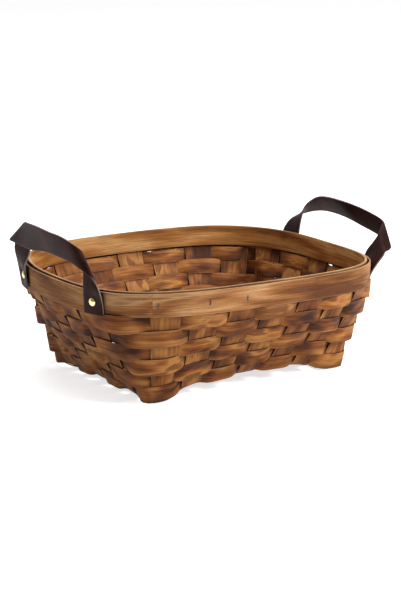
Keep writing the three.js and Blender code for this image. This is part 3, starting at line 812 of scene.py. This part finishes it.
right_rest = [
    ((10.5, -1.07, 9), (0.27, 0.96, 0.46)),
    ((19.5, -1, 14), (0.35, 1.05, 0.8)),
    ((23.5, -0.97, 16.5), (0.38, 1.05, 0.88)),
    ((26, -0.87, 19.5), (0.25, 0.9, 0.86)),
    ((27, -0.6, 24), (0, 0.5, 0.84)),
    ((25, -0.21, 29), (-0.2, 0.31, 0.86)),
    ((20.5, 0.06, 33), (-0.42, 0.19, 0.82)),
    ((18, 0.4, 34.5), (-0.5, 0.1, 0.75)),
    ((16, 0.67, 32.5), (-0.52, -0.31, 0.66)),
    ((11, 0.93, 23.5), (-0.44, -0.62, 0.42)),
    ((2, 1, 12.5), (-0.1, -0.94, 0.15)),
]
strap_columns = np.array([-1, -0.985, -0.93, -0.8, -0.5, -0.17, 0.17, 0.5, 0.8, 0.93, 0.985, 1])


def strap_leather():
    """Dark brown leather. The eye sees clouds of brown about 22 mm across, creases of 2.6 mm and
    pebbles of 0.9 mm that break up a soft sheen, and paler cut edges. A Scale is a count per metre."""
    material, tree, shader = new_material("dark brown strap leather")
    place = add_node(tree, "ShaderNodeTexCoord").outputs["Object"]
    across = add_node(tree, "ShaderNodeAttribute", attribute_name="across").outputs["Fac"]
    clouds = add_node(tree, "ShaderNodeTexNoise", {"Vector": place, "Scale": 45.0, "Detail": 4.0})
    creases = add_node(tree, "ShaderNodeTexNoise", {"Vector": place, "Scale": 380.0, "Detail": 5.0})
    pebbles = add_node(tree, "ShaderNodeTexVoronoi", {"Vector": place, "Scale": 1100.0})
    browns = add_node(tree, "ShaderNodeValToRGB", {0: clouds})
    set_stops(browns, [(0.3, "#1f0f0c"), (0.72, "#38221f")])
    rim = add_node(tree, "ShaderNodeMath", {0: across}, operation="ABSOLUTE")
    is_edge = add_node(tree, "ShaderNodeMapRange", {"Value": rim, "From Min": 0.975, "From Max": 0.995})
    leather = add_node(tree, "ShaderNodeMixRGB", {0: is_edge, 1: browns, 2: colour("#7d6c6a")})
    roughness = add_node(tree, "ShaderNodeMapRange", {"Value": creases, "To Min": 0.42, "To Max": 0.58})
    height = add_node(tree, "ShaderNodeMath", {0: pebbles, 1: 0.6, 2: creases}, operation="MULTIPLY_ADD")
    bump = add_node(tree, "ShaderNodeBump", {"Height": height, "Strength": 0.35, "Distance": 0.0003})
    shader.inputs["Specular IOR Level"].default_value = 0.09
    shader.inputs["Specular Tint"].default_value = colour("#ffc9bb")
    tree.links.new(leather.outputs[0], shader.inputs["Base Color"])
    tree.links.new(roughness.outputs[0], shader.inputs["Roughness"])
    tree.links.new(bump.outputs[0], shader.inputs["Normal"])
    return material


leather = strap_leather()


def tab_length(end, side):
    """The length around the rim where a strap is riveted."""
    return (4 if end > 0 else 6) * rim_total / 4 + end * side * tab_spacing / 2


def tab_rulings(end, side, peel):
    """The rows across a tab from its bottom end up, and the row across the bend above it. The tab
    is held at its rivet, and twists off the band around it, by peel's two lifts at its inner and
    outer edge, from a share of them at the bottom end up to all of them at the top."""
    beside = strap_columns / 2 * strap_width
    inner_lift, outer_lift, bottom_share, power = peel
    outer_share = (1 + side * end * strap_columns) / 2
    most = inner_lift + (outer_lift - inner_lift) * outer_share
    rows = []
    for height in np.append(np.linspace(0, tab_top, tab_rows), band_height + hinge_height):
        away = np.hypot(height - rivet_height, beside)
        free = np.clip((away - held_radius) / freeing_length, 0, 1)
        rise = bottom_share + (1 - bottom_share) * (height / band_height) ** power
        lift = most * rise * free * free * (3 - 2 * free)
        rows.append(band_point(height, tab_length(end, side) + beside, tab_offset + lift))
    return np.array(rows[:-1]), rows[-1]


def strap_points(end, rest, peels):
    """A whole strap: up its front tab, over its loop and down its back tab."""
    middles = []
    for (out, along, height), across in rest:
        middle = np.array([end * (rim_length / 2 + out), along * tab_spacing / 2, rim_height + height])
        half = np.array([end * across[0], across[1], across[2]]) * strap_width / 2
        middles.append((middle - half, middle + half))
    tabs = []
    hinges = []
    for side, near, peel in zip((-1, 1), (middles[0], middles[-1]), peels):
        tab, bend = tab_rulings(end, side, peel)
        ends = (bend[0], bend[-1])
        straight = np.linalg.norm(ends[0] - near[0]) + np.linalg.norm(ends[1] - near[1])
        crossed = np.linalg.norm(ends[1] - near[0]) + np.linalg.norm(ends[0] - near[1])
        if crossed < straight:
            ends = ends[::-1]
            tab = tab[:, ::-1]
        tabs.append(tab)
        hinges.append(ends)
    chain = [hinges[0], *middles, hinges[1]]
    shares = np.linspace(0, 1, loop_rows)
    low, high = (smooth_curve(np.array([pair[k] for pair in chain]), shares) for k in (0, 1))
    mix = (strap_columns + 1)[None, :, None] / 2
    loop = low[:, None] + (high - low)[:, None] * mix
    points = np.concatenate([tabs[0], loop, tabs[1][::-1]])
    return rounded(points, strap_passes)


# How each strap's tabs, front and back, stand off the band: the lift at the inner and at the
# outer edge, the share of it at the bottom end, and how fast the rest comes with height.
left_peels = ((0.0, 5.0, 0.0, 2.0), (3.5, 5.5, 0.45, 1.3))
right_peels = ((4.6, 14.0, 0.0, 1.3), (0.5, 8.0, 0.0, 2.0))
for word, end, rest, peels, seed in (
    ("left", -1, left_rest, left_peels, 80),
    ("right", 1, right_rest, right_peels, 82),
):
    strap = make_strip(
        f"{word}_strap", strap_points(end, rest, peels), strap_columns, leather,
        thickness=strap_thickness, thinning=0.3, seed=seed, edge_wave=0.12, face_wave=0.2,
        wave_length=35,
    )
    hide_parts(f"{word}_strap_tab_front", f"{word}_strap_tab_back", f"{word}_strap_loop")
    hinge = stood(band_point(band_height + hinge_height, [tab_length(end, -1)], tab_offset))[0]
    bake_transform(strap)

# Rivets
# A solid brass rivet with a domed head holds each tab. Its shank goes through the tab and the
# outer band, and its tail is spread behind the band.
head_seat = tab_offset + strap_thickness / 2
rivet_steps = 48

# Radius and distance out from the uprights' middle: the tail, the shank and the head.
rivet_profile = [
    (0.2, -0.28), (2.1, -0.25), (2.4, 0.0), (2.4, 0.4), (1.5, 0.5), (1.5, head_seat + 0.1),
    (4.2, head_seat + 0.12), (4.4, head_seat + 0.4), (4.35, head_seat + 0.8), (4.0, head_seat + 1.3),
    (3.3, head_seat + 1.8), (2.4, head_seat + 2.25), (1.2, head_seat + 2.5), (0.2, head_seat + 2.55),
]


def brass():
    """Bright brass, a little worn. The eye sees a pale metal mirror with small darker and duller
    stains about 2.4 mm across."""
    material, tree, shader = new_material("bright brass")
    place = add_node(tree, "ShaderNodeTexCoord").outputs["Object"]
    stains = add_node(tree, "ShaderNodeTexNoise", {"Vector": place, "Scale": 420.0, "Detail": 4.0})
    yellows = add_node(tree, "ShaderNodeValToRGB", {0: stains})
    set_stops(yellows, [(0.35, "#e6cb78"), (0.6, "#fff3c2")])
    roughness = add_node(tree, "ShaderNodeMapRange", {"Value": stains, "To Min": 0.3, "To Max": 0.16})
    bump = add_node(tree, "ShaderNodeBump", {"Height": stains, "Strength": 0.15, "Distance": 0.0001})
    shader.inputs["Metallic"].default_value = 1.0
    tree.links.new(yellows.outputs[0], shader.inputs["Base Color"])
    tree.links.new(roughness.outputs[0], shader.inputs["Roughness"])
    tree.links.new(bump.outputs[0], shader.inputs["Normal"])
    return material


rivet_brass = brass()


def turned(name, profile, end, side, material):
    """A turned piece on a rivet's axis, from its profile of radius and distance out."""
    length = tab_length(end, side)
    point = band_point(rivet_height, [length])[0]
    along = oval_point(length + nudge) - oval_point(length - nudge)
    higher = band_point(rivet_height + 1, [length])[0] - point
    outward = np.cross(along, higher)
    outward /= np.linalg.norm(outward)
    across = np.cross(outward, [0, 0, 1])
    across /= np.linalg.norm(across)
    steep = np.cross(across, outward)
    angles = np.linspace(0, 2 * math.pi, rivet_steps, endpoint=False)
    circle = np.cos(angles)[:, None] * across + np.sin(angles)[:, None] * steep
    points = [point + outward * out + radius * circle for radius, out in profile]
    last = (len(profile) - 1) * rivet_steps
    faces = []
    for start in range(0, last, rivet_steps):
        for j in range(rivet_steps):
            k = (j + 1) % rivet_steps
            faces.append((start + j, start + k, start + rivet_steps + k, start + rivet_steps + j))
    faces.append(tuple(range(rivet_steps))[::-1])
    faces.append(tuple(range(last, last + rivet_steps)))
    mesh = bpy.data.meshes.new(name)
    mesh.from_pydata(stood(np.array(points).reshape(-1, 3)).tolist(), [], faces)
    mesh.materials.append(material)
    for polygon in mesh.polygons:
        polygon.use_smooth = True
    piece = bpy.data.objects.new(name, mesh)
    bpy.context.scene.collection.objects.link(piece)
    return piece


for word, end in (("left", -1), ("right", 1)):
    for place, side in (("front", -1), ("back", 1)):
        rivet = turned(f"{word}_brass_rivet_{place}", rivet_profile, end, side, rivet_brass)
        put(rivet, f"{word}_rivet_{place}", "basket")

# Staples
# Three small staples of bent steel wire hold the outer band at the front. Their backs lie on the
# band, and their legs go through it and the upright behind it into the inner band.
wire_radius = 0.4
wire_bend = 0.6
wire_sides = 12
bend_steps = 5
half_back = 2.6
leg_depth = 2.2
beside_uprights = (-7, 3, 3)


def dull_steel():
    """Dull steel wire. The eye sees grey metal with specks of rust about 1.4 mm across."""
    material, tree, shader = new_material("dull steel wire")
    place = add_node(tree, "ShaderNodeTexCoord").outputs["Object"]
    rust = add_node(tree, "ShaderNodeTexNoise", {"Vector": place, "Scale": 700.0, "Detail": 3.0})
    greys = add_node(tree, "ShaderNodeValToRGB", {0: rust})
    set_stops(greys, [(0.4, "#8f8a84"), (0.62, "#6a4a34")])
    shader.inputs["Metallic"].default_value = 0.8
    tree.links.new(greys.outputs[0], shader.inputs["Base Color"])
    tree.links.new(rust.outputs[0], shader.inputs["Roughness"])
    return material


def bent_wire_tree():
    """Wire along a bent path: rounds the path's corners and gives it a round section."""
    tree = bpy.data.node_groups.new("bent wire", "GeometryNodeTree")
    face = tree.interface
    face.new_socket("Geometry", in_out="OUTPUT", socket_type="NodeSocketGeometry")
    face.new_socket("Geometry", in_out="INPUT", socket_type="NodeSocketGeometry")
    face.new_socket("Wire radius", in_out="INPUT", socket_type="NodeSocketFloat")
    face.new_socket("Bend radius", in_out="INPUT", socket_type="NodeSocketFloat")
    face.new_socket("Material", in_out="INPUT", socket_type="NodeSocketMaterial")
    given = add_node(tree, "NodeGroupInput").outputs
    path = add_node(tree, "GeometryNodeMeshToCurve", {"Mesh": given["Geometry"]})
    bent = add_node(tree, "GeometryNodeFilletCurve", {
        "Curve": path, "Radius": given["Bend radius"], "Count": bend_steps,
    }, mode="POLY")
    section = add_node(tree, "GeometryNodeCurvePrimitiveCircle", {
        "Resolution": wire_sides, "Radius": given["Wire radius"],
    })
    wire = add_node(tree, "GeometryNodeCurveToMesh", {
        "Curve": bent, "Profile Curve": section, "Fill Caps": True,
    })
    real = add_node(tree, "GeometryNodeRealizeInstances", {"Geometry": wire})
    done = add_node(tree, "GeometryNodeSetMaterial", {"Geometry": real, "Material": given["Material"]})
    add_node(tree, "NodeGroupOutput", {"Geometry": done})
    return tree


bent_wire = bent_wire_tree()
staple_steel = dull_steel()
for i, beside in enumerate(beside_uprights):
    length = [station_lengths[i] + beside]
    outside = wall_offset + band_thickness + clearance + wire_radius
    corners = ((-1, -leg_depth), (-1, outside), (1, outside), (1, -leg_depth))
    path = [band_point(band_height / 2 + half * half_back, length, out)[0] for half, out in corners]
    mesh = bpy.data.meshes.new(f"wire_staple_{i + 1}")
    mesh.from_pydata(stood(np.array(path)).tolist(), [(0, 1), (1, 2), (2, 3)], [])
    staple = bpy.data.objects.new(f"wire_staple_{i + 1}", mesh)
    bpy.context.scene.collection.objects.link(staple)
    bake(staple, bent_wire, {
        "Wire radius": wire_radius / 1000, "Bend radius": wire_bend / 1000, "Material": staple_steel,
    })
    put(staple, f"rim_staple_{i + 1}", "basket")

# Camera
# The camera stands to the front left, a little above the rim, where it was set against the rim,
# the base and both handles in the photo. Its place is given from the level rim.
camera_target = Vector((3.9, 0.0, 70.8)) / 1000
camera_distance = 2.373
camera_turn = math.radians(31.5)
camera_rise = math.radians(13.1)
sensor_width = 36.0
photo_height = 601
focal_length = 2200
back = Vector((
    -math.sin(camera_turn) * math.cos(camera_rise),
    -math.cos(camera_turn) * math.cos(camera_rise),
    math.sin(camera_rise),
))
right = Vector((math.cos(camera_turn), -math.sin(camera_turn), 0.0))
above = back.cross(right)
camera_data = bpy.data.cameras.new("camera")
camera_data.sensor_fit = "AUTO"
camera_data.sensor_width = sensor_width
camera_data.lens = focal_length * sensor_width / photo_height
camera = bpy.data.objects.new("camera", camera_data)
bpy.context.scene.collection.objects.link(camera)
axes = Matrix((right, above, back)).transposed().to_4x4()
camera.matrix_world = standing @ Matrix.Translation(camera_target + camera_distance * back) @ axes
bpy.context.scene.camera = camera

# Floor, backdrop and studio light
# A pale paper floor runs up into the backdrop. It glows a little where the camera sees it or sees
# it mirrored. A large soft light stands to the front right, one hangs above, and all around is white.
paper_grey = "#dddddd"
paper_glow = 0.7
paper_roughness = 0.9
half_floor = 9.0
profile = [(-9.0, 0.0), (4.6, 0.0), (5.0, 0.05), (5.3, 0.25), (5.45, 0.6), (5.5, 3.0)]
floor_mesh = bpy.data.meshes.new("floor")
corners = [(x, y, z) for y, z in profile for x in (-half_floor, half_floor)]
quads = [(2 * i, 2 * i + 1, 2 * i + 3, 2 * i + 2) for i in range(len(profile) - 1)]
floor_mesh.from_pydata(corners, [], quads)
floor = bpy.data.objects.new("floor", floor_mesh)
bpy.context.scene.collection.objects.link(floor)
paper, paper_tree, paper_shader = new_material("white paper backdrop")
rays = add_node(paper_tree, "ShaderNodeLightPath").outputs
seen = rays["Is Camera Ray"]
for name in ("Is Glossy Ray", "Is Transmission Ray"):
    seen = add_node(paper_tree, "ShaderNodeMath", {0: seen, 1: rays[name]}, operation="MAXIMUM")
glow = add_node(paper_tree, "ShaderNodeMath", {0: seen, 1: paper_glow}, operation="MULTIPLY")
paper_tree.links.new(glow.outputs[0], paper_shader.inputs["Emission Strength"])
paper_shader.inputs["Emission Color"].default_value = colour("#ffffff")
paper_shader.inputs["Base Color"].default_value = colour(paper_grey)
paper_shader.inputs["Roughness"].default_value = paper_roughness
floor_mesh.materials.append(paper)

for name, place, aim, size, power in (
    ("front right softbox", (1.1, -1.7, 1.5), (0, 0, 0.05), 1.0, 58),
    ("top softbox", (0.1, 0.3, 2.2), (0, 0, 0), 1.6, 34),
):
    light = bpy.data.lights.new(name, "AREA")
    light.size = size
    light.energy = power
    lamp = bpy.data.objects.new(name, light)
    lamp.location = place
    lamp.rotation_euler = (Vector(aim) - Vector(place)).to_track_quat("-Z", "Y").to_euler()
    bpy.context.scene.collection.objects.link(lamp)

world = bpy.data.worlds.new("studio")
bpy.context.scene.world = world
world.use_nodes = True
surround = world.node_tree.nodes["Background"].inputs
surround["Color"].default_value = colour("#ffffff")
surround["Strength"].default_value = 0.27
bpy.context.scene.view_settings.view_transform = "Standard"
